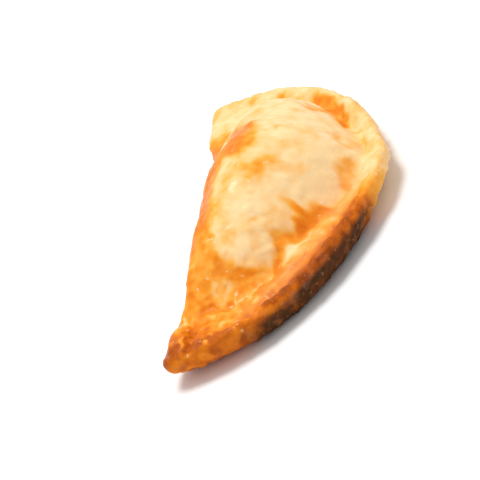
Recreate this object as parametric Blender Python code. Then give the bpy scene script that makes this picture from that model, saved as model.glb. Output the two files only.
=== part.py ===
"""A baked half-moon empanada, whole and uncut: one closed crust, folded over and crimped round its rim.

X runs from the near tip to the far tip, the folded edge faces +Y and the crimped rim faces -Y.
The flat belly of the crust rests on the table at Z = 0, and the origin is on the table under its middle.
Places on the plan are measured from the middle of the line between the two tips. An angle round the rim is
0 at the far tip, half a turn at the near tip.
"""

import math

import bmesh
import bpy
from mathutils import Matrix, Vector, noise

# Driving sizes, in metres.
RIM_RADIUS = 0.0708
RIM_TOP = 0.0106  # height of the rim's upper edge above the table
RIM_THICKNESS = 0.0052
RIM_EDGE_ROUNDING = 0.0014
FAR_RIM_WIDTH = 0.0085
NEAR_RIM_WIDTH = 0.0165
FOLD_INSET = 0.0093  # how far the folded edge lies inside the line of the two tips
NEAR_TIP_INSET = 0.0012
FAR_TIP_INSET = -0.0002
NEAR_TIP_CORNER = 0.0042
FAR_TIP_CORNER = 0.0022
DOME_HEIGHT = 0.0230  # the filled dome, above the rim
DOME_SLOPE = 0.0290  # how far inside its foot the dome levels out
DOME_FOLD_SLOPE = 0.0280  # the same, from the folded edge
DOME_NEAR_END = 0.0510  # where the dome stops, short of the near tip
FAR_FOOT = Vector((0.0390, -0.0050))  # a place on the dome's straight foot at the far end
FAR_FOOT_TURN = math.radians(35)  # how far that foot is turned away from square to X
FAR_STEEPNESS = 0.60  # how steeply the far end rises, compared with the other sides
BELLY_OVERLAP = 0.0012  # how far the belly would sag below the table, which flattens it
CRIMP_PITCH = 0.0046
CRIMP_DEPTH = 0.0009
SCALLOP_DEPTH = 0.00035
TONGUE_PLACE = (-0.0622, -0.0072)  # the fold of dough turned over at the near tip
TONGUE_LENGTH = 0.0210
TONGUE_WIDTH = 0.0092
TONGUE_HEIGHT = 0.0021
TONGUE_TURN = math.radians(-8)
PLAN_MIDDLE = Vector((0.0003, -0.0360))  # the middle of the plan's box, which becomes the origin

# Lumps left by the fingers round the far rim: place in degrees round the rim, distance inside its edge,
# length along it, width across it and height, which is below zero for a dent. The last is a fingertip's.
FINGER_MARKS = (
    (40.0, 0.0034, 0.0105, 0.0048, 0.0011),
    (59.0, 0.0036, 0.0095, 0.0046, 0.0010),
    (43.5, 0.0090, 0.0085, 0.0034, -0.0016),
    (58.0, 0.0086, 0.0055, 0.0036, -0.0015),
    (66.0, 0.0082, 0.0050, 0.0036, -0.0009),
    (27.0, 0.0060, 0.0090, 0.0050, 0.0006),
    (75.0, 0.0098, 0.0110, 0.0105, -0.0009),
)

# Mesh density: stations from tip to tip, and points round each section.
STATIONS = 186
TOP_POINTS = 16
RIM_POINTS = 6  # those of the top that lie on the rim's pressed band
BOTTOM_POINTS = 10
FAN = 0.45  # how far the sections spread like a fan towards the rim, instead of running straight along Y
TIP_SHARE = 0.012  # the share of the stations, at each tip, over which a section shrinks to a point


def clamp(value, low=0.0, high=1.0):
    return max(low, min(high, value))


def mix(first, second, share):
    return first + (second - first) * share


def smooth_step(value, start, end):
    """0 before start, 1 after end, with a smooth rise between them."""
    share = clamp((value - start) / (end - start))
    return share * share * (3 - 2 * share)


def bell(value, centre, width):
    return math.exp(-(((value - centre) / width) ** 2))


def degree_bell(angle, centre, width):
    return bell(math.degrees(angle), centre, width)


def swell(share, roundness=2.0, power=0.5):
    """A rise from 0 to 1 that starts steeply and ends level, as dough does over a filling."""
    return (1 - (1 - clamp(share)) ** roundness) ** power


def soft_min(first, second, radius):
    """The smaller of two distances, rounded off where they are nearly equal."""
    share = clamp(0.5 + 0.5 * (second - first) / radius)
    return mix(second, first, share) - radius * share * (1 - share)


def soft_floor(value, radius):
    """The value where it is above zero and zero below, with a rounded corner."""
    return -soft_min(-value, 0.0, radius)


def unevenness(x, y, size, seed):
    """Smooth noise from -1 to 1 with lumps of about the given size."""
    return noise.noise(Vector((x / size + seed, y / size - seed, seed * 1.7)))


# The outline seen from above.


def crimp(angle):
    """1 in a fork mark and 0 on the ridge between two marks, uneven as if pressed by hand."""
    along = angle * RIM_RADIUS / CRIMP_PITCH
    hand_wobble = 0.35 * math.sin(angle * 7.3) + 0.20 * math.sin(angle * 17.1 + 1.0)
    mark = 0.5 - 0.5 * math.cos(2 * math.pi * (along + hand_wobble))
    firmness = 0.62 + 0.38 * math.sin(angle * 3.1 + 4.2)
    return firmness * mark**1.4 * smooth_step(math.sin(angle), 0.10, 0.35)


def rim_radius(angle):
    """Distance of the rim from the middle of the tips' line: nearly a circle, but full or flat in places."""
    far_side = 0.017 * degree_bell(angle, 23, 15)
    shoulder = -0.024 * degree_bell(angle, 66, 16)
    front = 0.014 * degree_bell(angle, 95, 13)
    flake = 0.008 * degree_bell(angle, 88, 4) - 0.009 * degree_bell(angle, 79, 5)
    near_side = 0.022 * degree_bell(angle, 150, 22)
    waves = 0.004 * math.sin(5 * angle + 0.6) + 0.003 * math.sin(11 * angle + 2.1)
    return RIM_RADIUS * (1 + far_side + shoulder + flake + front + near_side + waves)


def fold_inset(x):
    """How far the folded edge lies inside the tips' line: level in the middle, less towards the tips."""
    reach = abs(x)
    if x > 0:
        inset = mix(FOLD_INSET, FAR_TIP_INSET, smooth_step(reach, 0.018, 0.060))
        radius = FAR_TIP_CORNER
    else:
        inset = mix(FOLD_INSET, NEAR_TIP_INSET, smooth_step(reach, 0.028, 0.065))
        radius = NEAR_TIP_CORNER
    into_corner = clamp(reach - (RIM_RADIUS - radius), 0.0, radius)
    corner = radius - math.sqrt(radius**2 - into_corner**2)
    sway = 0.0007 * math.sin(x * 85 + 0.5)
    return inset + corner + sway * (1 - smooth_step(reach, 0.040, 0.060))


def rim_point(angle):
    radius = rim_radius(angle) - SCALLOP_DEPTH * crimp(angle)
    return Vector((radius * math.cos(angle), -radius * math.sin(angle)))


def section_ends(along):
    """The rim end, the fold end and the angle of a section. Along is 0 at the near tip and 1 at the far."""
    far_angle = math.asin((FAR_TIP_CORNER + FAR_TIP_INSET) / RIM_RADIUS)
    near_angle = math.pi - math.asin((NEAR_TIP_CORNER + NEAR_TIP_INSET) / RIM_RADIUS)
    angle = mix(near_angle, far_angle, along)
    swing = mix(0.5 - 0.5 * math.cos(math.pi * along), along, FAN)
    fold_x = mix(rim_point(near_angle).x, rim_point(far_angle).x, swing)
    fold = Vector((fold_x, -fold_inset(fold_x)))
    rim = rim_point(angle)
    return rim, rim.lerp(fold, smooth_step(min(along, 1 - along), 0.0, TIP_SHARE)), angle


# The heights over the plan.


def edge_distances(x, y):
    """How far a plan point lies inside the rim and inside the fold, and its angle round the rim."""
    angle = math.atan2(max(-y, 0.0), x)
    inside_rim = rim_radius(angle) - math.hypot(x, y)
    inside_rim -= SCALLOP_DEPTH * crimp(angle) * (1 - smooth_step(inside_rim, 0.001, 0.005))
    inside_fold = -y - fold_inset(x)
    return max(inside_rim, 0.0), max(inside_fold, 0.0), angle


def rim_width(angle):
    return mix(FAR_RIM_WIDTH, NEAR_RIM_WIDTH, smooth_step(angle, 1.35, 2.25))


def seam_height(angle):
    """The rim's mid-plane, which waves a little round the rim."""
    wave = 0.0005 * math.sin(4 * angle + 0.8) + 0.0003 * math.sin(9 * angle)
    return RIM_TOP - RIM_THICKNESS / 2 + wave * math.sin(angle)


def edge_fullness(inside_rim, inside_fold, rounding):
    """The share of the pinched dough's thickness: a blunt wall at the rim, rounded at the fold."""
    return swell(inside_rim / rounding, 3.0, 0.4) * swell(inside_fold / 0.0030)


def undercut(angle):
    """1 where the rim thins out underneath, at the far and front side, and 0 where its wall is upright."""
    return 1 - smooth_step(angle, 1.55, 2.15)


def dome(x, y, inside_rim, inside_fold, angle):
    """Height of the filled dome over the rim. Its far end slopes more gently than the near one."""
    from_far_foot = Vector((x, y)) - FAR_FOOT
    from_far_foot.rotate(Matrix.Rotation(-FAR_FOOT_TURN, 2))
    from_ends = soft_min(x + DOME_NEAR_END, -FAR_STEEPNESS * from_far_foot.x, 0.012)
    inside_foot = soft_floor(soft_min(inside_rim - rim_width(angle), from_ends, 0.014), 0.0035)
    from_foot = swell(inside_foot / DOME_SLOPE, 2.3, 0.95)
    from_fold = swell(inside_fold / DOME_FOLD_SLOPE, 2.0, 0.54)
    lumps = 1 + 0.08 * unevenness(x, inside_fold, 0.022, 3.1)
    return DOME_HEIGHT * from_foot * from_fold * lumps


def belly(x, inside_rim, inside_fold, angle):
    """Depth of the underside below the rim, as it would hang without the table."""
    start = mix(0.0010, 0.0032, undercut(angle))
    reach = mix(0.0125, 0.0160, undercut(angle))
    from_rim = swell((inside_rim - start) / reach, 2.0, 0.55)
    from_fold = swell(inside_fold / 0.011, 2.0, 0.55)
    from_tip = swell((0.0700 - abs(x)) / 0.016, 2.0, 0.60)
    return (RIM_TOP - RIM_THICKNESS + BELLY_OVERLAP) * from_rim * from_fold * from_tip


def rim_relief(inside_rim, angle):
    """The pressed band of the rim: fork marks, a groove at the foot of the dome and an edge that curls up."""
    width = rim_width(angle)
    on_band = 1 - smooth_step(inside_rim, width - 0.003, width)
    marks = -0.5 * CRIMP_DEPTH * crimp(angle) * on_band
    groove = -0.0010 * bell(inside_rim, width - 0.0012, 0.0024) * smooth_step(math.sin(angle), 0.05, 0.25)
    curl = 0.0006 * bell(inside_rim, 0.0022, 0.0024)
    return marks + groove + curl


def finger_marks(inside_rim, angle):
    """Pads and dents pressed into the far side of the rim."""
    height = 0.0
    for degrees, inside, length, width, rise in FINGER_MARKS:
        along = (angle - math.radians(degrees)) * RIM_RADIUS / (length / 2)
        across = (inside_rim - inside) / (width / 2)
        height += rise * math.exp(-0.7 * (along**2 + across**2) ** 1.5)
    return height


def tongue(x, y):
    """The turned-over fold on the near tip: a low rounded tongue with a crease round it."""
    from_middle = Vector((x, y)) - Vector(TONGUE_PLACE)
    from_middle.rotate(Matrix.Rotation(TONGUE_TURN, 2))
    reach = math.hypot(from_middle.x / (TONGUE_LENGTH / 2), from_middle.y / (TONGUE_WIDTH / 2))
    return TONGUE_HEIGHT * smooth_step(reach, 1.0, 0.35) - 0.0005 * bell(reach, 1.05, 0.18)


def top_height(x, y):
    inside_rim, inside_fold, angle = edge_distances(x, y)
    edge = edge_fullness(inside_rim, inside_fold, RIM_EDGE_ROUNDING)
    relief = rim_relief(inside_rim, angle) + finger_marks(inside_rim, angle) + tongue(x, y)
    rim = seam_height(angle) + (RIM_THICKNESS / 2 + relief) * edge
    return rim + dome(x, y, inside_rim, inside_fold, angle)


def bottom_height(x, y):
    inside_rim, inside_fold, angle = edge_distances(x, y)
    edge = edge_fullness(inside_rim, inside_fold, mix(0.0018, 0.0070, undercut(angle)))
    marks = CRIMP_DEPTH * crimp(angle) * (1 - smooth_step(inside_rim, 0.004, 0.010))
    under = seam_height(angle) - (RIM_THICKNESS / 2 - marks) * edge
    return max(under - belly(x, inside_rim, inside_fold, angle), 0.0)


# The crust as one closed mesh.


def foot_place(rim, fold, angle):
    """Where the foot of the dome crosses a section, as a share of the way from the rim to the fold."""
    inwards = fold - rim
    length = max(inwards.length, 1e-6)
    slant = max(-inwards.dot(rim.normalized()) / length, 0.2)
    return min((rim_width(angle) + 0.0015) / slant / length, 0.6)


def top_place(step, foot):
    """Spreads the points of the top: close at the rim's edge and at the fold, with one on the dome's foot."""
    if step <= RIM_POINTS:
        return foot * (step / RIM_POINTS) ** 1.5
    past_foot = (step - RIM_POINTS) / (TOP_POINTS - RIM_POINTS)
    return mix(foot, 1.0, 1 - (1 - past_foot) ** 1.6)


def bottom_place(step):
    return 0.5 - 0.5 * math.cos(math.pi * (step / BOTTOM_POINTS) ** 0.95)


def crust_point(sphere_point):
    """Moves a point of a unit sphere, whose poles are the two tips, to its place on the crust."""
    along = math.acos(clamp(sphere_point.z, -1.0, 1.0)) / math.pi
    turn = math.atan2(sphere_point.y, sphere_point.x) / (2 * math.pi) % 1.0
    points = TOP_POINTS + BOTTOM_POINTS
    step = int(turn * points)  # each point lies halfway through its step
    rim, fold, angle = section_ends(along)
    if step <= TOP_POINTS:
        plan = rim.lerp(fold, top_place(step, foot_place(rim, fold, angle)))
        height = top_height(plan.x, plan.y)
    else:
        plan = rim.lerp(fold, bottom_place(points - step))
        height = bottom_height(plan.x, plan.y)
    return (plan - PLAN_MIDDLE).to_3d() + Vector((0, 0, height))


def build_crust():
    shell = bmesh.new()
    bmesh.ops.create_uvsphere(shell, u_segments=TOP_POINTS + BOTTOM_POINTS, v_segments=STATIONS, radius=1.0)
    for vertex in shell.verts:
        vertex.co = crust_point(vertex.co)
    bmesh.ops.triangulate(shell, faces=shell.faces[:], quad_method="SHORT_EDGE")
    bmesh.ops.recalc_face_normals(shell, faces=shell.faces[:])
    mesh = bpy.data.meshes.new("crust")
    shell.to_mesh(mesh)
    shell.free()
    mesh.shade_smooth()
    return bpy.data.objects.new("crust", mesh)


def crust_material():
    material = bpy.data.materials.new("golden_crust")
    material.use_nodes = True
    finish = material.node_tree.nodes["Principled BSDF"]
    finish.inputs["Base Color"].default_value = (0.80, 0.42, 0.13, 1.0)
    finish.inputs["Roughness"].default_value = 0.45
    finish.inputs["Metallic"].default_value = 0.0
    return material


def main():
    for old in list(bpy.data.objects):
        bpy.data.objects.remove(old)
    crust = build_crust()
    crust.data.materials.append(crust_material())
    bpy.context.scene.collection.objects.link(crust)


main()
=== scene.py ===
"""A baked half-moon empanada: its crust with blisters, browning and a dark, fork-marked wall.

X runs from the near tip to the far tip, the folded edge faces +Y and the crimped rim faces -Y.
Places on the plan are measured from the middle of the line between the two tips. An angle round the rim is
0 at the far tip, half a turn at the near tip. Lengths are in metres, and the tables of marks in millimetres.
"""

import math

import bmesh
import bpy
from mathutils import Matrix, Vector, noise


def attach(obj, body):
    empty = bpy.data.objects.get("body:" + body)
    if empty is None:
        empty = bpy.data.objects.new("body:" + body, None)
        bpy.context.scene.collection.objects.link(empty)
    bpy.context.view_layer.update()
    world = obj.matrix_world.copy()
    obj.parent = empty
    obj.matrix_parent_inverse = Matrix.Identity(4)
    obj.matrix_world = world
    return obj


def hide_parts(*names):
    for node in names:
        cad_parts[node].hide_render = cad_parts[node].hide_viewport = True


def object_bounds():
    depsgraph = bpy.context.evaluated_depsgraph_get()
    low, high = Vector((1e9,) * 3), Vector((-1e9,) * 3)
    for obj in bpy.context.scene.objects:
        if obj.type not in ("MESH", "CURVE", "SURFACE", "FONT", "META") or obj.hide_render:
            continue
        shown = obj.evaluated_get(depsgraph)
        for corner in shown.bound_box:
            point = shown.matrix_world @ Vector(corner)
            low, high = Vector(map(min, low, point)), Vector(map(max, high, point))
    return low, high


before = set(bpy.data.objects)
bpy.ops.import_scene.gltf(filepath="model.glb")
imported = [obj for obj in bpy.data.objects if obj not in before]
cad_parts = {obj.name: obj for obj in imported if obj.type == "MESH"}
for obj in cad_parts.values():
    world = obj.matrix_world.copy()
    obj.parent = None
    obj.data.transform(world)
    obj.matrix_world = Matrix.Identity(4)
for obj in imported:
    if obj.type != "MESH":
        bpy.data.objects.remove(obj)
cad_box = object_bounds()

MM = 0.001

# The crust's form.
RIM_RADIUS = 0.0708
RIM_TOP = 0.0106
RIM_THICKNESS = 0.0052
RIM_EDGE_ROUNDING = 0.0014
FAR_RIM_WIDTH = 0.0085
NEAR_RIM_WIDTH = 0.0165
FOLD_INSET = 0.0093
NEAR_TIP_INSET = 0.0012
FAR_TIP_INSET = -0.0002
NEAR_TIP_CORNER = 0.0042
FAR_TIP_CORNER = 0.0022
DOME_HEIGHT = 0.0227
DOME_SLOPE = 0.0290
DOME_FOLD_SLOPE = 0.0280
DOME_NEAR_END = 0.0510
FAR_FOOT = Vector((0.0390, -0.0050))
FAR_FOOT_DIRECTION = Vector((math.cos(math.radians(35)), math.sin(math.radians(35))))
FAR_STEEPNESS = 0.60
BELLY_OVERLAP = 0.0012
CRIMP_PITCH = 0.0046
CRIMP_DEPTH = 0.0009
SCALLOP_DEPTH = 0.00035
TONGUE_PLACE = (-0.0622, -0.0072)
TONGUE_LENGTH = 0.0210
TONGUE_WIDTH = 0.0092
TONGUE_HEIGHT = 0.0021
TONGUE_TURN = math.radians(-8)
PLAN_MIDDLE = Vector((0.0003, -0.0360))
FINGER_MARKS = (
    (40.0, 0.0034, 0.0105, 0.0048, 0.0011),
    (59.0, 0.0036, 0.0095, 0.0046, 0.0010),
    (43.5, 0.0090, 0.0085, 0.0034, -0.0016),
    (58.0, 0.0086, 0.0055, 0.0036, -0.0015),
    (66.0, 0.0082, 0.0050, 0.0036, -0.0009),
    (27.0, 0.0060, 0.0090, 0.0050, 0.0006),
    (75.0, 0.0098, 0.0110, 0.0105, -0.0009),
)

# Mesh density.
STATIONS = 508
TOP_POINTS = 130
RIM_POINTS = 44
BOTTOM_POINTS = 64
FAN = 0.45
TIP_SHARE = 0.012

# The outlines of the marks are uneven, and this keeps them the same each time.
OUTLINE_SEED = 1
noise.seed_set(OUTLINE_SEED)

# Marks on the top, in millimetres and degrees: place x and y, length, width, turn, browning and rise.
MARKS = (
    # the folded edge, browned all along and darkened further with painted shade
    (-12, -17, 36, 9, 2, 0.34, 0.0),
    (-14, -21, 26, 6, 4, 0.22, -0.1),
    (-31, -16, 10, 6, -20, 0.16, 0.0),
    (-33, -20, 5, 5, 30, 0.20, 0.15),
    (-26, -26, 10, 3.5, 20, 0.14, 0.0),
    (-17, -30.5, 12, 6, -10, 0.26, 0.0),
    # the browned brow at the far end of the dome, with a tail down its side
    (2, -29, 22, 12, -40, 0.50, 0.0),
    (-4, -34.5, 11, 9, 80, 0.46, 0.2),
    (-5.5, -38, 4.5, 3, 30, 0.20, 0.15),
    (10, -27, 22, 8, 22, 0.38, -0.15),
    (18, -27, 14, 7, 15, 0.26, 0.0),
    (22, -33, 14, 6, 20, 0.14, 0.0),
    (3, -38, 16, 5, 20, 0.14, 0.1),
    (9, -34, 15, 4, 24, 0.22, 0.1),
    # the flap beyond the dome
    (42, -5, 16, 7, 20, 0.50, -0.3),
    (50, -8, 9, 4, 0, 0.28, 0.0),
    (66, -17, 5, 2.5, 70, 0.22, 0.2),
    (60, -29, 10, 7, 60, 0.14, 0.0),
    (61, -27, 6, 3, 60, 0.26, -0.2),
    (66, -27, 4, 3, 60, -0.08, 0.3),
    (55, -35, 7, 3, 50, 0.22, -0.2),
    # pale orange patches on the middle of the dome
    (-15.5, -37, 8.5, 7, 60, 0.36, 0.25),
    (-12.5, -41, 9, 4.5, -65, 0.28, 0.15),
    (-13, -47, 8, 3.5, -75, 0.20, 0.0),
    (-6, -47, 8, 3, -70, 0.07, 0.1),
    (3.5, -45, 4.5, 1.4, 5, 0.20, -0.15),
    (0, -42.5, 3, 1.2, 80, 0.15, -0.15),
    (2.5, -42, 3, 2.5, 0, -0.08, 0.3),
    (20, -45, 6, 2, 20, 0.12, 0.1),
    (22, -40, 7, 2, 15, 0.10, 0.0),
    # the pale middle of the dome, lightened partly as a painted highlight along its crest
    (-17, -46, 10, 7, -20, -0.10, 0.0),
    (-12, -53, 12, 6, -10, -0.12, 0.0),
    (-28, -36.5, 9, 7, -20, -0.12, 0.0),
    # dents pressed by the fingers in the far rim: orange skin in them deepened with painted shade, and pale pads
    # lightened with painted highlights
    (46, -45, 12, 5.5, 42, 0.60, -0.40),
    (37, -50.5, 9, 5, 38, 0.56, -0.40),
    (30, -48, 12, 4, 10, 0.36, -0.2),
    (30, -54, 9, 4, 18, 0.46, -0.3),
    (24, -56, 7, 2, 8, 0.40, -0.25),
    (50, -50, 7, 4, 45, -0.06, 0.45),
    (38, -56, 6, 4, 35, -0.08, 0.4),
    # the ring of a fingertip at the front
    (9, -56.8, 13, 1.4, 8, 0.24, -0.2),
    (3.5, -60, 5, 1.5, 80, 0.16, -0.15),
    (12, -63, 12, 1.3, 12, 0.20, -0.15),
    (19, -59.5, 5, 1.4, 75, 0.18, -0.15),
    (11.5, -60, 10, 4, 10, 0.10, 0.25),
    (17, -56, 4, 1.2, 60, -0.10, 0.35),
    # the front shoulder
    (-10, -60.5, 14, 4, -14, 0.30, -0.2),
    (-4.5, -60.5, 8, 3.4, -20, 0.26, 0.1),
    (-14, -61, 5, 3, 0, 0.22, 0.1),
    (-20, -57, 9, 3, -40, 0.16, -0.1),
    (-16, -66, 12, 3, -25, 0.13, 0.1),
    # the curved blotch beside the bubble
    (-24, -45.5, 5, 2.6, 70, 0.36, 0.2),
    (-27.5, -47.5, 6.5, 4.4, -20, 0.56, 0.25),
    (-23.5, -51, 9, 5, -65, 0.48, 0.15),
    (-23, -55, 6, 4, 40, 0.48, 0.1),
    (-31.5, -44.5, 11, 3.2, -52, 0.55, -0.50),
    (-29.5, -37.5, 11, 1.1, -50, 0.15, -0.2),
    (-37, -39.3, 7, 2.4, -18, 0.46, -0.40),
    (-42, -38.2, 7, 2.6, 5, 0.42, -0.35),
    (-47, -38.6, 5, 2.4, 15, 0.22, -0.2),
    # the pale bubble and the pale skin round it
    (-36.3, -43.3, 7.5, 6.4, -40, -0.30, 1.1),
    (-41, -44, 7, 5, 0, -0.04, 0.1),
    (-43.2, -41.6, 5.5, 1.5, 35, -0.16, 0.35),
    (-33, -52.5, 6, 2.4, 35, -0.16, 0.35),
    (-27.5, -54.3, 7, 4, 20, -0.10, 0.2),
    (-30, -58, 8, 2, 35, -0.08, 0.25),
    (-40, -52, 14, 6, -40, 0.14, 0.0),
    (-24, -61, 14, 5, -35, 0.12, 0.0),
    (-40.5, -48.5, 4, 2, 20, 0.16, 0.1),
    (-45, -36.5, 3.4, 1.6, -20, -0.22, 0.3),
    # orange and golden spots near the dome's near foot
    (-40, -22, 4.4, 3.2, 20, 0.18, 0.2),
    (-43.8, -29, 7, 2, -80, 0.26, -0.2),
    (-36, -22, 3.5, 2.2, 70, -0.14, 0.2),
    (-48, -27.5, 3.5, 2, 30, 0.18, 0.0),
    (-49.5, -33.8, 9, 4.4, 22, 0.24, 0.15),
    (-51, -16, 13, 2.8, 88, 0.20, -0.45),
    (-51, -22.5, 4, 3, 60, 0.14, -0.3),
    (-47, -10, 7, 3, -15, 0.12, -0.3),
    (-39, -30, 10, 7, -60, -0.12, 0.1),
    # pale ridges on the near rim, raised and lightened with painted highlights
    (-53, -25.3, 9, 1.6, 6, -0.20, 0.45),
    (-57.5, -27, 7, 1.5, 14, -0.12, 0.35),
    (-60.5, -21.8, 3.6, 2.6, 30, -0.24, 0.4),
    (-54, -16.6, 4, 2.2, 50, -0.12, 0.2),
    (-64.5, -18.5, 3.2, 1.6, 20, -0.20, 0.4),
    (-68.2, -17.4, 1.8, 1.3, 20, -0.30, 0.3),
    (-55, -32.6, 5, 2.6, 15, -0.26, 0.4),
    (-50.5, -29.5, 4, 1.5, 30, -0.18, 0.3),
    (-57, -37.5, 5, 2, -50, -0.10, 0.3),
    (-59, -28.5, 6, 2, 10, 0.10, -0.2),
    (-65.5, -24, 5, 3, 60, 0.10, 0.0),
    # the tongue at the tip, with pale painted highlights on its top
    (-58, -7.2, 5, 2.2, 15, -0.26, 0.3),
    (-53, -8, 7, 1.8, 20, -0.24, 0.3),
    (-66, -9.2, 6, 1.3, 0, -0.30, 0.35),
    (-69, -6.6, 4, 2.4, 0, 0.24, -0.3),
    (-61, -11.2, 14, 1.5, -2, 0.30, -0.45),
    (-64.5, -5.6, 3.5, 1.6, 30, -0.10, 0.2),
)


class Mark:
    """One mark, with its turn worked out once."""

    def __init__(self, x, y, length, width, turn, brown, rise):
        self.x = x
        self.y = y
        self.reach = 0.9 * length + 1.0
        self.along = Vector((math.cos(math.radians(turn)), math.sin(math.radians(turn)))) * 2 / length
        self.across = Vector((-math.sin(math.radians(turn)), math.cos(math.radians(turn)))) * 2 / width
        self.brown = brown
        self.rise = rise

    def share(self, spot):
        """1 in the middle of the mark, falling to 0 round it."""
        if abs(spot.x - self.x) > self.reach or abs(spot.y - self.y) > self.reach:
            return 0.0
        offset = Vector((spot.x - self.x, spot.y - self.y))
        return math.exp(-0.9 * (offset.dot(self.along) ** 2 + offset.dot(self.across) ** 2) ** 1.5)


ALL_MARKS = [Mark(*row) for row in MARKS]


def clamp(value, low=0.0, high=1.0):
    return max(low, min(high, value))


def mix(first, second, share):
    return first + (second - first) * share


def smooth_step(value, start, end):
    """0 before start, 1 after end, with a smooth rise between them."""
    share = clamp((value - start) / (end - start))
    return share * share * (3 - 2 * share)


def bell(value, centre, width):
    return math.exp(-(((value - centre) / width) ** 2))


def degree_bell(angle, centre, width):
    return bell(math.degrees(angle), centre, width)


def swell(share, roundness=2.0, power=0.5):
    """A rise from 0 to 1 that starts steeply and ends level, as dough does over a filling."""
    return (1 - (1 - clamp(share)) ** roundness) ** power


def soft_min(first, second, radius):
    """The smaller of two distances, rounded off where they are nearly equal."""
    share = clamp(0.5 + 0.5 * (second - first) / radius)
    return mix(second, first, share) - radius * share * (1 - share)


def soft_floor(value, radius):
    """The value where it is above zero and zero below, with a rounded corner."""
    return -soft_min(-value, 0.0, radius)


def unevenness(x, y, size, seed):
    """Smooth noise from -1 to 1 with lumps of about the given size."""
    return noise.noise(Vector((x / size + seed, y / size - seed, seed * 1.7)))


def lumps(place, size, seed):
    """The same over a surface in space."""
    return noise.noise(place / size + Vector((seed, -seed, seed * 1.7)))


# The outline seen from above.


def crimp(angle):
    """1 in a fork mark and 0 on the ridge between two marks, uneven as if pressed by hand."""
    along = angle * RIM_RADIUS / CRIMP_PITCH
    hand_wobble = 0.35 * math.sin(angle * 7.3) + 0.20 * math.sin(angle * 17.1 + 1.0)
    mark = 0.5 - 0.5 * math.cos(2 * math.pi * (along + hand_wobble))
    firmness = 0.62 + 0.38 * math.sin(angle * 3.1 + 4.2)
    return firmness * mark**1.4 * smooth_step(math.sin(angle), 0.10, 0.35)


def rim_radius(angle):
    """Distance of the rim from the middle of the tips' line: nearly a circle, but full or flat in places."""
    far_side = 0.017 * degree_bell(angle, 23, 15)
    shoulder = -0.024 * degree_bell(angle, 66, 16)
    front = 0.014 * degree_bell(angle, 95, 13)
    flake = 0.008 * degree_bell(angle, 88, 4) - 0.009 * degree_bell(angle, 79, 5)
    near_side = 0.022 * degree_bell(angle, 150, 22)
    waves = 0.004 * math.sin(5 * angle + 0.6) + 0.003 * math.sin(11 * angle + 2.1)
    return RIM_RADIUS * (1 + far_side + shoulder + flake + front + near_side + waves)


def fold_inset(x):
    """How far the folded edge lies inside the tips' line: level in the middle, less towards the tips."""
    reach = abs(x)
    if x > 0:
        inset = mix(FOLD_INSET, FAR_TIP_INSET, smooth_step(reach, 0.018, 0.060))
        radius = FAR_TIP_CORNER
    else:
        inset = mix(FOLD_INSET, NEAR_TIP_INSET, smooth_step(reach, 0.028, 0.065))
        radius = NEAR_TIP_CORNER
    into_corner = clamp(reach - (RIM_RADIUS - radius), 0.0, radius)
    corner = radius - math.sqrt(radius**2 - into_corner**2)
    sway = 0.0007 * math.sin(x * 85 + 0.5)
    return inset + corner + sway * (1 - smooth_step(reach, 0.040, 0.060))


def rim_point(angle):
    radius = rim_radius(angle) - SCALLOP_DEPTH * crimp(angle)
    return Vector((radius * math.cos(angle), -radius * math.sin(angle)))


def section_ends(along):
    """The rim end, the fold end and the angle of a section. Along is 0 at the near tip and 1 at the far."""
    far_angle = math.asin((FAR_TIP_CORNER + FAR_TIP_INSET) / RIM_RADIUS)
    near_angle = math.pi - math.asin((NEAR_TIP_CORNER + NEAR_TIP_INSET) / RIM_RADIUS)
    angle = mix(near_angle, far_angle, along)
    swing = mix(0.5 - 0.5 * math.cos(math.pi * along), along, FAN)
    fold_x = mix(rim_point(near_angle).x, rim_point(far_angle).x, swing)
    fold = Vector((fold_x, -fold_inset(fold_x)))
    rim = rim_point(angle)
    return rim, rim.lerp(fold, smooth_step(min(along, 1 - along), 0.0, TIP_SHARE)), angle


# The heights over the plan.


def edge_distances(x, y):
    """How far a plan point lies inside the rim and inside the fold, and its angle round the rim."""
    angle = math.atan2(max(-y, 0.0), x)
    inside_rim = rim_radius(angle) - math.hypot(x, y)
    inside_rim -= SCALLOP_DEPTH * crimp(angle) * (1 - smooth_step(inside_rim, 0.001, 0.005))
    inside_fold = -y - fold_inset(x)
    return max(inside_rim, 0.0), max(inside_fold, 0.0), angle


def rim_width(angle):
    return mix(FAR_RIM_WIDTH, NEAR_RIM_WIDTH, smooth_step(angle, 1.35, 2.25))


def seam_height(angle):
    """The rim's mid-plane, which waves a little round the rim."""
    wave = 0.0005 * math.sin(4 * angle + 0.8) + 0.0003 * math.sin(9 * angle)
    return RIM_TOP - RIM_THICKNESS / 2 + wave * math.sin(angle)


def edge_fullness(inside_rim, inside_fold, rounding):
    """The share of the pinched dough's thickness: a blunt wall at the rim, rounded at the fold."""
    return swell(inside_rim / rounding, 3.0, 0.4) * swell(inside_fold / 0.0030)


def undercut(angle):
    """1 where the rim thins out underneath, at the far and front side, and 0 where its wall is upright."""
    return 1 - smooth_step(angle, 1.55, 2.15)


def dome(x, y, inside_rim, inside_fold, angle):
    """Height of the filled dome over the rim. Its far end slopes more gently than the near one."""
    from_far_foot = FAR_FOOT_DIRECTION.dot(Vector((x, y)) - FAR_FOOT)
    from_ends = soft_min(x + DOME_NEAR_END, -FAR_STEEPNESS * from_far_foot, 0.012)
    inside_foot = soft_floor(soft_min(inside_rim - rim_width(angle), from_ends, 0.014), 0.0035)
    from_foot = swell(inside_foot / DOME_SLOPE, 2.3, 0.95)
    from_fold = swell(inside_fold / DOME_FOLD_SLOPE, 2.0, 0.54)
    waves = 1 + 0.08 * unevenness(x, inside_fold, 0.022, 3.1)
    return DOME_HEIGHT * from_foot * from_fold * waves


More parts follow.
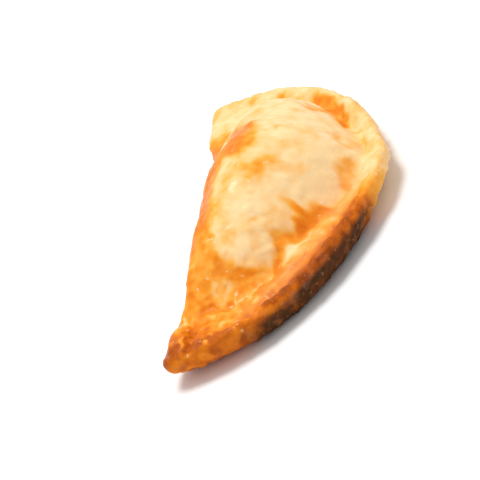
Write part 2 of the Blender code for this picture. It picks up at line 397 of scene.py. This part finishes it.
def belly(x, inside_rim, inside_fold, angle):
    """Depth of the underside below the rim, as it would hang without the table."""
    start = mix(0.0010, 0.0032, undercut(angle))
    reach = mix(0.0125, 0.0160, undercut(angle))
    from_rim = swell((inside_rim - start) / reach, 2.0, 0.55)
    from_fold = swell(inside_fold / 0.011, 2.0, 0.55)
    from_tip = swell((0.0700 - abs(x)) / 0.016, 2.0, 0.60)
    return (RIM_TOP - RIM_THICKNESS + BELLY_OVERLAP) * from_rim * from_fold * from_tip


def rim_relief(inside_rim, angle):
    """The pressed band of the rim: fork marks, a groove at the foot of the dome and an edge that curls up."""
    width = rim_width(angle)
    on_band = 1 - smooth_step(inside_rim, width - 0.003, width)
    marks = -0.5 * CRIMP_DEPTH * crimp(angle) * on_band * mix(0.3, 1.0, smooth_step(angle, 1.5, 2.0))
    groove = -0.0010 * bell(inside_rim, width - 0.0012, 0.0024) * smooth_step(math.sin(angle), 0.05, 0.25)
    curl = 0.0006 * bell(inside_rim, 0.0022, 0.0024)
    return marks + groove + curl


def finger_marks(inside_rim, angle):
    """Pads and dents pressed into the far side of the rim."""
    height = 0.0
    for degrees, inside, length, width, rise in FINGER_MARKS:
        along = (angle - math.radians(degrees)) * RIM_RADIUS / (length / 2)
        across = (inside_rim - inside) / (width / 2)
        height += rise * math.exp(-0.7 * (along**2 + across**2) ** 1.5)
    return height


def tongue_reach(x, y):
    """0 in the middle of the turned-over tongue and 1 at its edge."""
    from_middle = Vector((x, y)) - Vector(TONGUE_PLACE)
    from_middle.rotate(Matrix.Rotation(TONGUE_TURN, 2))
    return math.hypot(from_middle.x / (TONGUE_LENGTH / 2), from_middle.y / (TONGUE_WIDTH / 2))


def tongue(x, y):
    """The turned-over fold on the near tip: a low rounded tongue with a crease round it."""
    reach = tongue_reach(x, y)
    return TONGUE_HEIGHT * smooth_step(reach, 1.0, 0.35) - 0.0005 * bell(reach, 1.05, 0.18)


def top_height(x, y):
    inside_rim, inside_fold, angle = edge_distances(x, y)
    edge = edge_fullness(inside_rim, inside_fold, RIM_EDGE_ROUNDING)
    relief = rim_relief(inside_rim, angle) + finger_marks(inside_rim, angle) + tongue(x, y)
    rim = seam_height(angle) + (RIM_THICKNESS / 2 + relief) * edge
    return rim + dome(x, y, inside_rim, inside_fold, angle)


def bottom_height(x, y):
    inside_rim, inside_fold, angle = edge_distances(x, y)
    edge = edge_fullness(inside_rim, inside_fold, mix(0.0018, 0.0070, undercut(angle)))
    marks = 0.4 * CRIMP_DEPTH * crimp(angle) * (1 - smooth_step(inside_rim, 0.004, 0.010))
    under = seam_height(angle) - (RIM_THICKNESS / 2 - marks) * edge
    return max(under - belly(x, inside_rim, inside_fold, angle), 0.0)


# The crust as one closed mesh.


def foot_place(rim, fold, angle):
    """Where the foot of the dome crosses a section, as a share of the way from the rim to the fold."""
    inwards = fold - rim
    length = max(inwards.length, 1e-6)
    slant = max(-inwards.dot(rim.normalized()) / length, 0.2)
    return min((rim_width(angle) + 0.0015) / slant / length, 0.6)


def top_place(step, foot):
    """Spreads the points of the top: close at the rim's edge and at the fold, with one on the dome's foot."""
    if step <= RIM_POINTS:
        return foot * (step / RIM_POINTS) ** 1.4
    past_foot = (step - RIM_POINTS) / (TOP_POINTS - RIM_POINTS)
    return mix(foot, 1.0, 1 - (1 - past_foot) ** 1.35)


def bottom_place(step):
    return 0.5 - 0.5 * math.cos(math.pi * (step / BOTTOM_POINTS) ** 1.15)


class Spot:
    """A point of the crust before its fine relief: where it is on the plan and which side it is on."""

    def __init__(self, sphere_point):
        along = math.acos(clamp(sphere_point.z, -1.0, 1.0)) / math.pi
        turn = math.atan2(sphere_point.y, sphere_point.x) / (2 * math.pi) % 1.0
        points = TOP_POINTS + BOTTOM_POINTS
        step = int(turn * points)  # each point lies halfway through its step
        rim, fold, angle = section_ends(along)
        self.on_top = step <= TOP_POINTS
        if self.on_top:
            self.plan = rim.lerp(fold, top_place(step, foot_place(rim, fold, angle)))
            height = top_height(self.plan.x, self.plan.y)
        else:
            self.plan = rim.lerp(fold, bottom_place(points - step))
            height = bottom_height(self.plan.x, self.plan.y)
        self.inside_rim, self.inside_fold, self.angle = edge_distances(self.plan.x, self.plan.y)
        self.place = (self.plan - PLAN_MIDDLE).to_3d() + Vector((0, 0, height))
        self.off_pole = smooth_step(min(along, 1 - along), 0.0, 0.022)


# The fine relief and the browning.


def wandering(plan):
    """The plan point in millimetres, moved a little so that the marks get uneven outlines."""
    wide = noise.noise_vector(Vector((plan.x / 0.006, plan.y / 0.006, 5.3)))
    narrow = noise.noise_vector(Vector((plan.x / 0.002, plan.y / 0.002, 8.9)))
    return plan / MM + 1.5 * wide.xy + 0.8 * narrow.xy


def marked(plan):
    """How much the marks darken, lighten and raise a plan point."""
    spot = wandering(plan)
    darker = 0.0
    lighter = 0.0
    rise = 0.0
    for mark in ALL_MARKS:
        share = mark.share(spot)
        darker += max(mark.brown, 0.0) * share
        lighter -= min(mark.brown, 0.0) * share
        rise += mark.rise * share
    return darker, lighter, rise * MM


def blisters(place, size, seed):
    """Small rounded bubbles, 0 to 1."""
    return smooth_step(lumps(place, size, seed), 0.12, 0.50)


def near_side(angle):
    """0 at the far and front side of the rim and 1 at the near side."""
    return smooth_step(angle, 1.55, 2.05)


def rim_ridges(spot):
    """The twisted ridge along the near rim, the groove inside it and a second, thinner ridge."""
    inside = spot.inside_rim + 0.0006 * lumps(spot.place, 0.006, 41.1)
    uneven = 0.7 + 0.9 * lumps(spot.place, 0.005, 42.1)
    ridge = 0.00065 * bell(inside, 0.0020, 0.0012) * uneven - 0.00060 * bell(inside, 0.0044, 0.0013)
    second_place = 0.0082 + 0.0010 * math.sin(spot.angle * 9)
    second = 0.00060 * bell(inside, second_place, 0.0009) - 0.00040 * bell(inside, second_place - 0.0018, 0.0010)
    second *= bell(math.degrees(spot.angle), 138, 14)
    return (ridge + second) * near_side(spot.angle) * (1 - smooth_step(spot.angle, 2.75, 2.95))


def on_rim(spot):
    return 1 - smooth_step(spot.inside_rim, 0.006, 0.012)


def top_relief(spot):
    """Fine relief of the top, outwards, in metres."""
    place = spot.place
    soft = 0.00034 * lumps(place, 0.010, 1.3) + 0.00020 * lumps(place, 0.0042, 4.1)
    fine = 0.00008 * lumps(place, 0.0017, 6.1)
    bubbles = 0.00030 * blisters(place, 0.0052, 2.2) + 0.00014 * blisters(place, 0.0024, 7.2)
    rim_lumps = 0.00042 * on_rim(spot) * lumps(place, 0.0065, 17.7)
    return soft + fine + bubbles + rim_lumps + rim_ridges(spot)


def wall_relief(spot):
    """Relief of the wall: deeper fork marks, layers and crumbs."""
    place = spot.place
    on_wall = 1 - smooth_step(spot.inside_rim, 0.010, 0.016)
    forks = -0.00016 * crimp(spot.angle) * near_side(spot.angle)
    layers = 0.00020 * noise.noise(Vector((spot.angle * RIM_RADIUS / 0.006, place.z / 0.0010, 3.3)))
    crumbs = 0.00040 * blisters(place, 0.0030, 5.5)
    rough = 0.00020 * lumps(place, 0.0022, 8.1) + 0.00009 * lumps(place, 0.0010, 28.1)
    return (forks + layers + crumbs + rough) * on_wall + 0.00012 * lumps(place, 0.003, 2.7)


def patches(place, size, seed):
    """Blotches with fairly clear edges, from -0.5 to 0.5."""
    return smooth_step(lumps(place, size, seed), -0.28, 0.28) - 0.5


def browned_side(angle):
    """0 at the pale far and front side of the rim and 1 at the browned near side."""
    return smooth_step(angle, 1.68, 2.02)


def near_tip(spot):
    return smooth_step(spot.plan.x, -0.050, -0.064)


def top_browning(spot, darker, lighter):
    """How browned the top is, from 0, pale cream, to 1, deep brown."""
    near = browned_side(spot.angle)
    near_end = smooth_step(spot.plan.x, -0.026, -0.054)
    width = rim_width(spot.angle)
    band = near * (1 - smooth_step(spot.inside_rim, width * 0.75, width))
    inside = spot.inside_rim + 0.0010 * lumps(spot.place, 0.004, 43.1)
    edge = near * (1 - smooth_step(inside, 0.0034, 0.0078)) * (1 - 0.35 * near_tip(spot))
    far_edge = (1 - near) * (1 - smooth_step(inside, 0.0, 0.0025))
    fold = 1 - smooth_step(spot.inside_fold, 0.002, 0.012)
    # Along the near half of the fold the browning is deepened by a band of painted shade.
    fold_browning_and_shade = (1 - smooth_step(spot.inside_fold, 0.009, 0.024)) * smooth_step(spot.plan.x, 0.014, -0.010)
    level = 0.14 + 0.33 * near_end + 0.34 * band * (1 - 0.5 * near_end) + 0.50 * edge + 0.12 * far_edge + 0.14 * fold
    level += 0.30 * fold_browning_and_shade * (1 - 0.6 * near_end) + 0.08 * (1 - near) * on_rim(spot)
    strength = 0.7 + 0.5 * near_end
    clouds = 0.13 * lumps(spot.place, 0.014, 11.1) + 0.18 * patches(spot.place, 0.0060, 12.1)
    flecks = 0.13 * patches(spot.place, 0.0026, 13.1)
    level = soft_min(level + (clouds + flecks) * strength + darker, 0.74 + 0.18 * edge + 0.08 * near_tip(spot), 0.14)
    # The pale marks, among them painted highlights, lighten the level after the cap.
    return clamp(level - 1.2 * lighter)


def wall_browning(spot):
    """How browned the wall and the underside are."""
    under = smooth_step(spot.inside_rim, 0.008, 0.018)
    at_edge = mix(0.30, 0.93, browned_side(spot.angle)) - 0.12 * near_tip(spot)
    blotches = 0.12 * lumps(spot.place, 0.009, 12.1) + 0.10 * patches(spot.place, 0.0035, 13.1)
    return clamp(mix(at_edge, 0.60, under) + blotches)


def scorched_and_shaded(spot):
    """How dark the wall is below the ridge on the near and the front side: burnt crust, with painted shade that
    deepens towards the bottom.
    """
    below = smooth_step(seam_height(spot.angle) + 0.0020 - spot.place.z, 0.0, 0.0026)
    ragged = 0.35 * lumps(spot.place, 0.005, 21.1) + 0.30 * lumps(spot.place, 0.0018, 22.1)
    round_rim = smooth_step(spot.angle, 1.78, 2.02) * (1 - smooth_step(spot.angle, 2.62, 2.80))
    side = round_rim * (1 - smooth_step(spot.inside_rim, 0.010, 0.018))
    return clamp((below * (1.0 + ragged) - 0.06) * side)


def pinkness(spot):
    """Where the dough is pinkish: the smooth band inside the near ridge."""
    band = smooth_step(spot.angle, 1.55, 1.80) * (1 - smooth_step(spot.angle, 2.50, 2.80))
    across = bell(spot.inside_rim, 0.0090, 0.0040)
    return clamp(band * across * (0.8 + 0.6 * lumps(spot.place, 0.008, 31.1)))


def build_crust():
    shell = bmesh.new()
    bmesh.ops.create_uvsphere(shell, u_segments=TOP_POINTS + BOTTOM_POINTS, v_segments=STATIONS, radius=1.0)
    spots = [Spot(vertex.co) for vertex in shell.verts]
    for vertex, spot in zip(shell.verts, spots):
        vertex.co = spot.place
    if shell.calc_volume(signed=True) < 0:
        bmesh.ops.reverse_faces(shell, faces=shell.faces[:])
    shell.normal_update()
    browning = shell.verts.layers.float.new("browning")
    scorch = shell.verts.layers.float.new("scorch")
    pink = shell.verts.layers.float.new("pink")
    for vertex, spot in zip(shell.verts, spots):
        on_top = smooth_step(spot.inside_rim, 0.0, 0.0016) if spot.on_top else 0.0
        brown = wall_browning(spot) if on_top < 1 else 0.0
        relief = wall_relief(spot) if on_top < 1 else 0.0
        if spot.on_top:
            darker, lighter, rise = marked(spot.plan)
            brown = mix(brown, top_browning(spot, darker, lighter), on_top)
            relief = mix(relief, rise + top_relief(spot), on_top)
            vertex[pink] = pinkness(spot)
        vertex[browning] = brown
        vertex[scorch] = scorched_and_shaded(spot)
        moved = spot.place + vertex.normal * relief * spot.off_pole
        vertex.co = Vector([clamp(moved[i], cad_box[0][i], cad_box[1][i]) for i in range(3)])
    mesh = bpy.data.meshes.new("baked_crust")
    shell.to_mesh(mesh)
    shell.free()
    mesh.shade_smooth()
    crust = bpy.data.objects.new("baked_crust", mesh)
    bpy.context.scene.collection.objects.link(crust)
    return crust


# Materials.


class Socket:
    """An output of a node. Arithmetic on it adds Math nodes."""

    def __init__(self, finish, output):
        self.finish = finish
        self.output = output

    def math(self, operation, *values):
        return self.finish.node("ShaderNodeMath", {"operation": operation}, *values)

    def __add__(self, other):
        return self.math("ADD", self, other)

    def __radd__(self, other):
        return self.math("ADD", other, self)

    def __sub__(self, other):
        return self.math("SUBTRACT", self, other)

    def __rsub__(self, other):
        return self.math("SUBTRACT", other, self)

    def __mul__(self, other):
        return self.math("MULTIPLY", self, other)

    def __rmul__(self, other):
        return self.math("MULTIPLY", other, self)

    def between(self, start, end):
        """0 below start, 1 above end, with a smooth rise."""
        settings = {"interpolation_type": "SMOOTHSTEP"}
        return self.finish.node("ShaderNodeMapRange", settings, self, start, end, 0.0, 1.0)


class Finish:
    """One material and the nodes that make it."""

    def __init__(self, name):
        self.material = bpy.data.materials.new(name)
        self.material.use_nodes = True
        self.nodes = self.material.node_tree.nodes
        self.links = self.material.node_tree.links
        self.shader = self.nodes["Principled BSDF"]

    def node(self, kind, settings, *values, output=0):
        """Adds a node: its settings first, then its inputs in order, each a value or a link. None skips one."""
        added = self.nodes.new(kind)
        for name, setting in settings.items():
            if name == "stops":
                set_stops(added.color_ramp, setting)
            else:
                setattr(added, name, setting)
        for socket, value in zip([i for i in added.inputs if i.enabled], values):
            self.feed(socket, value)
        outputs = [o for o in added.outputs if o.enabled]
        return Socket(self, outputs[output])

    def feed(self, socket, value):
        if isinstance(value, Socket):
            self.links.new(value.output, socket)
        elif value is not None:
            socket.default_value = value

    def attribute(self, name):
        return self.node("ShaderNodeAttribute", {"attribute_name": name}, output=2)

    def coordinates(self):
        return self.node("ShaderNodeTexCoord", {}, output=3)

    def grain(self, size, detail=3.0, roughness=0.55, stretch=(1, 1, 1), seed=0.0):
        """Noise from 0 to 1 with lumps of about the given size in metres."""
        settings = {"vector_type": "POINT"}
        offset = (seed, -seed, 2 * seed)
        placed = self.node("ShaderNodeMapping", settings, self.coordinates(), offset, (0, 0, 0), stretch)
        return self.node("ShaderNodeTexNoise", {}, placed, 1 / size, detail, roughness)

    def ramp(self, value, stops):
        return self.node("ShaderNodeValToRGB", {"stops": stops}, value)

    def blend(self, share, first, second, mode="MIX"):
        """Mixes two colours."""
        return self.node("ShaderNodeMix", {"data_type": "RGBA", "blend_type": mode}, share, first, second)


def set_stops(ramp, stops):
    while len(ramp.elements) < len(stops):
        ramp.elements.new(1.0)
    for element, (position, colour) in zip(ramp.elements, stops):
        element.position = position
        element.color = (*colour, 1.0)


CREAM = (0.90, 0.65, 0.33)
BUTTER = (0.90, 0.53, 0.20)
GOLD = (0.88, 0.41, 0.066)
ORANGE = (0.86, 0.30, 0.022)
AMBER = (0.76, 0.20, 0.008)
RUST = (0.50, 0.105, 0.005)
BROWN = (0.24, 0.045, 0.004)
# Near-black of the lower wall: char darkened further with painted shade.
CHAR_AND_SHADE = (0.070, 0.024, 0.006)
CHAR_SPECK = (0.30, 0.13, 0.035)
PINK = (0.90, 0.37, 0.13)
FLOUR = (0.92, 0.80, 0.50)


def crust_finish():
    """Baked dough: cream to brown by how browned it is, with a thin shine of egg wash."""
    finish = Finish("baked_dough")
    browning = finish.attribute("browning")
    scorch = finish.attribute("scorch")
    pink = finish.attribute("pink")
    mottle = finish.grain(0.0035, 4.0, 0.6, seed=1.0) - 0.5
    fine = finish.grain(0.0009, 3.0, 0.6, seed=2.0) - 0.5
    level = browning + mottle * 0.26 + fine * 0.10
    stops = ((0.08, CREAM), (0.28, BUTTER), (0.45, GOLD), (0.60, ORANGE), (0.75, AMBER), (0.88, RUST), (1.0, BROWN))
    dough = finish.ramp(level, stops)
    rosy = finish.blend(pink * 0.55, dough, (*PINK, 1.0))
    pale_flecks = finish.grain(0.0022, 2.0, 0.5, seed=3.0).between(0.66, 0.74)
    floured = finish.blend(pale_flecks * 0.35, rosy, (*FLOUR, 1.0))
    crumbs = finish.grain(0.0016, 3.0, 0.6, seed=4.0).between(0.58, 0.70)
    # The wall below the ridge goes nearly black: char, with painted shade in it, and lighter crumbs.
    burnt_and_shaded = finish.blend(crumbs * 0.7, (*CHAR_AND_SHADE, 1.0), (*CHAR_SPECK, 1.0))
    colour = finish.blend(scorch, floured, burnt_and_shaded)
    finish.feed(finish.shader.inputs["Base Color"], colour)
    shine = finish.grain(0.006, 2.0, 0.5, seed=5.0)
    finish.feed(finish.shader.inputs["Roughness"], 0.62 - shine * 0.30 + scorch * 0.15)
    relief = finish.grain(0.0007, 4.0, 0.65, seed=6.0) + finish.grain(0.0022, 3.0, 0.6, seed=7.0)
    bump = finish.node("ShaderNodeBump", {}, 0.35, 0.00025, None, relief)
    finish.feed(finish.shader.inputs["Normal"], bump)
    glaze = finish.grain(0.0045, 3.0, 0.55, seed=8.0).between(0.50, 0.64)
    finish.feed(finish.shader.inputs["Coat Weight"], glaze * 0.30)
    finish.shader.inputs["Coat Roughness"].default_value = 0.16
    finish.shader.inputs["Specular IOR Level"].default_value = 0.08
    return finish.material


def floor_finish():
    finish = Finish("pale_table")
    clouds = finish.grain(0.25, 3.0, 0.5, seed=9.0)
    colour = finish.blend(clouds, (0.86, 0.86, 0.86, 1.0), (0.89, 0.89, 0.885, 1.0))
    finish.feed(finish.shader.inputs["Base Color"], colour)
    finish.shader.inputs["Roughness"].default_value = 0.8
    finish.shader.inputs["Specular IOR Level"].default_value = 0.2
    return finish.material


# The table, the light and the camera.

FLOOR_SIZE = 4.0


def build_floor():
    sheet = bmesh.new()
    bmesh.ops.create_grid(sheet, x_segments=4, y_segments=4, size=FLOOR_SIZE / 2)
    mesh = bpy.data.meshes.new("table")
    sheet.to_mesh(mesh)
    sheet.free()
    floor = bpy.data.objects.new("table", mesh)
    floor.data.materials.append(floor_finish())
    bpy.context.scene.collection.objects.link(floor)


def aim(thing, place, target):
    thing.location = place
    thing.rotation_euler = (Vector(place) - Vector(target)).to_track_quat("Z", "Y").to_euler()


def add_light(name, place, size, power, tint=(1, 1, 1)):
    lamp = bpy.data.lights.new(name, "AREA")
    lamp.shape = "DISK"
    lamp.size = size
    lamp.energy = power
    lamp.color = tint
    holder = bpy.data.objects.new(name, lamp)
    aim(holder, place, (0, 0, 0.01))
    bpy.context.scene.collection.objects.link(holder)


def light_the_table():
    add_light("softbox", (0.17, 0.12, 1.28), 0.55, 11.8)
    world = bpy.data.worlds.new("studio")
    world.use_nodes = True
    backdrop = world.node_tree.nodes["Background"]
    backdrop.inputs["Color"].default_value = (1.0, 1.0, 1.0, 1.0)
    backdrop.inputs["Strength"].default_value = 0.70
    bpy.context.scene.world = world


CAMERA_TARGET = Vector((0.0002, 0.0221, 0.0002))
CAMERA_AZIMUTH = math.radians(-65.41)
CAMERA_ELEVATION = math.radians(27.07)
CAMERA_ROLL = math.radians(-33.98)
CAMERA_DISTANCE = 0.9
CAMERA_LENS = 212.98


def place_camera():
    turn = Matrix.Rotation(CAMERA_AZIMUTH, 4, "Z")
    tilt = Matrix.Rotation(math.pi / 2 - CAMERA_ELEVATION, 4, "X")
    roll = Matrix.Rotation(CAMERA_ROLL, 4, "Z")
    lens = bpy.data.cameras.new("camera")
    lens.lens = CAMERA_LENS
    lens.clip_start = 0.01
    camera = bpy.data.objects.new("camera", lens)
    facing = turn @ tilt @ roll
    camera.matrix_world = Matrix.Translation(CAMERA_TARGET + facing.col[2].xyz * CAMERA_DISTANCE) @ facing
    bpy.context.scene.collection.objects.link(camera)
    bpy.context.scene.camera = camera


def main():
    bpy.context.scene.view_settings.view_transform = "Standard"
    crust = build_crust()
    crust.data.materials.append(crust_finish())
    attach(crust, "root")
    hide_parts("crust")
    build_floor()
    light_the_table()
    place_camera()


main()
